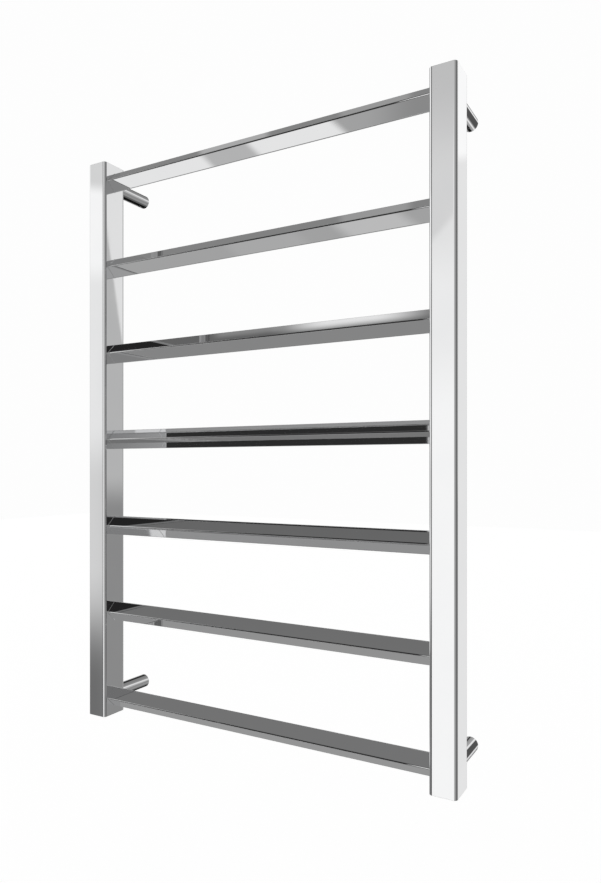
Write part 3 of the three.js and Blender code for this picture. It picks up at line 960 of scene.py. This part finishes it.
for side_name in SIDES:
    upright(side_name, upright_steel)
    for end_name in ENDS:
        end_plate(end_name, side_name, upright_steel)
        place = f"{end_name}_{side_name}"
        barrel(place, barrel_steel)
        spigot(place, lathe_steel)
        wall_boss(place, lathe_steel)
        grub_screw(place, screw_steel)
for bar_name in BARS:
    bar(bar_name, bar_steel)

slots = {subpart["node"]: subpart["material_slot"] for subpart in frame["record"]["subparts"]}
for node_name, node_object in frame["nodes"].items():
    if not node_object.hide_render:
        node_object.data.materials.clear()
        node_object.data.materials.append(FINISHES[slots[node_name]])

# ---------------------------------------------------------------- camera

CAMERA_RIGHT = 0.5108  # of the rail's middle
CAMERA_DISTANCE = 0.7513  # in front of the uprights' front faces
CAMERA_HEIGHT = 0.3617  # above the uprights' lower ends
CAMERA_YAW = 29.77
CAMERA_LENS = 29.12
CAMERA_SHIFT_UP = 0.0276


def add_camera():
    low, high = cad_box
    camera = bpy.data.objects.new("camera", bpy.data.cameras.new("camera"))
    camera.data.lens = CAMERA_LENS
    camera.data.sensor_width = 36
    camera.data.shift_y = CAMERA_SHIFT_UP
    camera.location = (CAMERA_RIGHT, low.y - CAMERA_DISTANCE, low.z + CAMERA_HEIGHT)
    camera.rotation_euler = (math.radians(90), 0, math.radians(CAMERA_YAW))
    bpy.context.scene.collection.objects.link(camera)
    bpy.context.scene.camera = camera


add_camera()

# ---------------------------------------------------------------- studio
#
# Mirror-polished steel shows what stands round it, so the studio is a sky of soft-edged panels, on three
# screens and set by tone for the photo's view. The sides are measured in degrees: round the rail,
# from straight in front of it (0) to its right (90), and above the horizon. The floor and the ceiling are
# flat, measured from the rail in units of their own distance: to the right, and out to the front.

FLOOR_DROP = 1.0
FLOOR_SIZE = 30.0
PAPER = 0.985
SCREEN_EDGE = (37.0, 41.0)  # degrees up or down where the sides fade into the ceiling or the floor
STEEPEST = 0.05  # keeps the flat screens' measures finite at the horizon

# Each panel: from, to, low, high, softness across, softness up, brightness. Two more numbers may follow: how
# much it climbs to the right, and how much it leans to the right on the way up.

SIDES_LIGHT = 0.34
SIDE_PANELS = [
    # behind, on the left
    (-176, -132, -60, -17, 4, 5, 0.008),
    (-168, -132, 17, 60, 4, 5, 0.03),
    # left
    (-98, -44, -14, 60, 4, 8, 0.7),
    (-98, -44, 1, 60, 4, 5, 0.88),
    (-98, -44, 14.5, 60, 4, 2, 1.02),
    (-62, -38, 20.5, 60, 4, 1, 0.72),
    (-98, -44, -60, -12, 4, 9, 0.17),
    # a dark gap, and the front
    (-43, -19.4, -60, 60, 0.6, 8, 0.03),
    (-19.6, 12, -60, 14, 0.4, 6, 1.02),
    (-19.6, 12, 7, 60, 0.4, 7, 0.93),
    (-19.6, 12, 16, 60, 0.4, 5, 0.84),
    (-19.6, -16, 18.8, 60, 0.3, 1, 0.72, 1),
    (-19.6, 12, 25, 60, 0.4, 7, 0.57),
    # right
    (12, 122, -60, 60, 8, 8, 0.45),
    (42, 122, -60, 60, 8, 8, 0.28),
    (76, 122, -60, 60, 8, 8, 0.13),
    # behind, on the right
    (122, 143, -60, 12, 2, 3, 0.28),
    (122, 143, -2, 40, 2, 3, 0.5),
    (130, 141.3, 13.5, 60, 2, 0.8, 0.82, -7),
    (143, 159.5, -60, 60, 3, 2, 0.3),
    (144, 159.5, -17, 20, 4, 5, 0.09),
    (159.5, 168, -60, 60, 1, 3, 0.84),
    (159.5, 168, 22.8, 60, 1, 1, 1.03),
    (168, 181, 15, 60, 3, 6, 0.4),
    (168, 181, -60, -15, 3, 6, 0.4),
]

FLOOR_LIGHT = 0.2
FLOOR_PANELS = [
    (-9, 9, -9, -0.2, 1, 0.3, 0.33),
    (-9, 9, 0.12, 0.9, 1, 0.1, 0.26),
    (-9, 9, 0.28, 0.9, 1, 0.06, 0.4),
    (-0.49, -0.38, 0.3, 0.42, 0.03, 0.03, 0.55, 0, -1.2),
    (-0.7, -0.56, 0.3, 0.42, 0.03, 0.03, 0.44, 0, -1.2),
    (-1.5, -0.505, 0.45, 0.615, 0.02, 0.03, 0.87, 0, -1),
    (-0.76, -0.665, 0.45, 0.615, 0.02, 0.02, 0.5, 0, -1),
    (-0.42, 9, 0.45, 0.8, 0.1, 0.03, 0.28),
    (-1.1, -0.3, 0.62, 5, 0.1, 0.06, 0.02),
    (-0.75, 0.05, -1.5, -0.72, 0.1, 0.06, 0.005),
    (0.05, 0.7, -1.5, -0.88, 0.1, 0.06, 0.12),
]

CEILING_LIGHT = 0.135
CEILING_PANELS = [
    (-9, 9, -9, -0.3, 1, 0.1, 0.245),
    (-9, 9, 0.2, 9, 1, 0.5, 0.19),
    (-0.775, -0.635, -0.65, -0.45, 0.02, 0.03, 0.43),
    (-0.5, -0.385, -0.65, -0.3, 0.02, 0.03, 0.34),
    (-0.74, -0.61, -0.3, -0.222, 0.03, 0.01, 0.26),
    (-0.58, -0.385, -0.3, -0.219, 0.12, 0.014, 0.85),
    (0.8, 1.3, -0.3, 0.34, 0.04, 0.05, 0.02),
    (-1.1, -0.3, 0.55, 5, 0.1, 0.1, 0.02),
    (-0.9, -0.3, -1.5, -0.98, 0.1, 0.06, 0.03),
]


def panel_edges(nodes, offset, size, softness):
    """One near the middle, fading to zero over a soft edge half the size away."""
    start = (size - softness) / 2
    return nodes.remap(nodes.math("ABSOLUTE", offset), start, start + softness, 1.0, 0.0, True)


def screen_light(nodes, across, up, light, panels):
    """The brightness of a screen with its panels, where later ones cover earlier ones."""
    for left, right, low, high, soft_across, soft_up, brightness, *skew in panels:
        climb, lean = (*skew, 0.0, 0.0)[:2]
        sideways = nodes.math("SUBTRACT", across, (left + right) / 2)
        rise = nodes.math("SUBTRACT", up, (low + high) / 2)
        climbed = nodes.math("MULTIPLY_ADD", sideways, -float(climb), rise)
        leant = nodes.math("MULTIPLY_ADD", rise, -float(lean), sideways)
        columns = panel_edges(nodes, leant, right - left, soft_across)
        rows = panel_edges(nodes, climbed, high - low, soft_up)
        mask = nodes.math("MULTIPLY", columns, rows)
        light = nodes.add("ShaderNodeMix", {"Factor": mask, 2: light, 3: brightness}).outputs[0]
    return light


def add_studio():
    world = bpy.data.worlds.new("studio")
    bpy.context.scene.world = world
    nodes = Nodes(world)
    direction = nodes.add("ShaderNodeTexCoord").outputs["Generated"]
    parts = nodes.add("ShaderNodeSeparateXYZ", {0: direction}).outputs
    forward = nodes.math("MULTIPLY", parts["Y"], -1.0)
    azimuth = nodes.math("DEGREES", nodes.math("ARCTAN2", parts["X"], forward))
    elevation = nodes.math("DEGREES", nodes.math("ARCSINE", parts["Z"]))
    light = screen_light(nodes, azimuth, elevation, SIDES_LIGHT, SIDE_PANELS)

    steepness = nodes.math("MAXIMUM", nodes.math("ABSOLUTE", parts["Z"]), STEEPEST)
    across = nodes.math("DIVIDE", parts["X"], steepness)
    out = nodes.math("DIVIDE", forward, steepness)
    flat_screens = [
        (nodes.math("MULTIPLY", elevation, -1.0), FLOOR_LIGHT, FLOOR_PANELS),
        (elevation, CEILING_LIGHT, CEILING_PANELS),
    ]
    for turned, plain, panels in flat_screens:
        covers = nodes.remap(turned, SCREEN_EDGE[0], SCREEN_EDGE[1], 0.0, 1.0, True)
        screen = screen_light(nodes, across, out, plain, panels)
        light = nodes.add("ShaderNodeMix", {"Factor": covers, 2: light, 3: screen}).outputs[0]

    seen = nodes.add("ShaderNodeLightPath").outputs["Is Camera Ray"]
    light = nodes.add("ShaderNodeMix", {"Factor": seen, 2: light, 3: PAPER}).outputs[0]
    background = nodes.tree.nodes["Background"]
    nodes.tree.links.new(light, background.inputs["Color"])


def add_floor():
    """A pale floor, well below the rail."""
    shape = bmesh.new()
    half = FLOOR_SIZE / 2
    level = cad_box[0].z - FLOOR_DROP
    corners = [(-half, -half, level), (half, -half, level), (half, half, level), (-half, half, level)]
    shape.faces.new([shape.verts.new(corner) for corner in corners])
    mesh = bpy.data.meshes.new("floor")
    shape.to_mesh(mesh)
    shape.free()
    floor = bpy.data.objects.new("floor", mesh)
    bpy.context.scene.collection.objects.link(floor)
    floor.visible_glossy = False

    def build(nodes):
        speckle = nodes.noise(3.0, detail=2.0)
        return {
            "Base Color": nodes.blend(speckle, (0.3, 0.3, 0.3), (0.32, 0.32, 0.32)),
            "Roughness": nodes.remap(speckle, 0.3, 0.7, 0.8, 0.9),
        }

    paper = finish("studio_paper", build, 0.0)
    surface = paper.node_tree.nodes["Principled BSDF"]
    surface.inputs["Emission Color"].default_value = (1, 1, 1, 1)
    surface.inputs["Emission Strength"].default_value = 0.9
    mesh.materials.append(paper)


add_studio()
add_floor()
bpy.context.scene.view_settings.view_transform = "Standard"
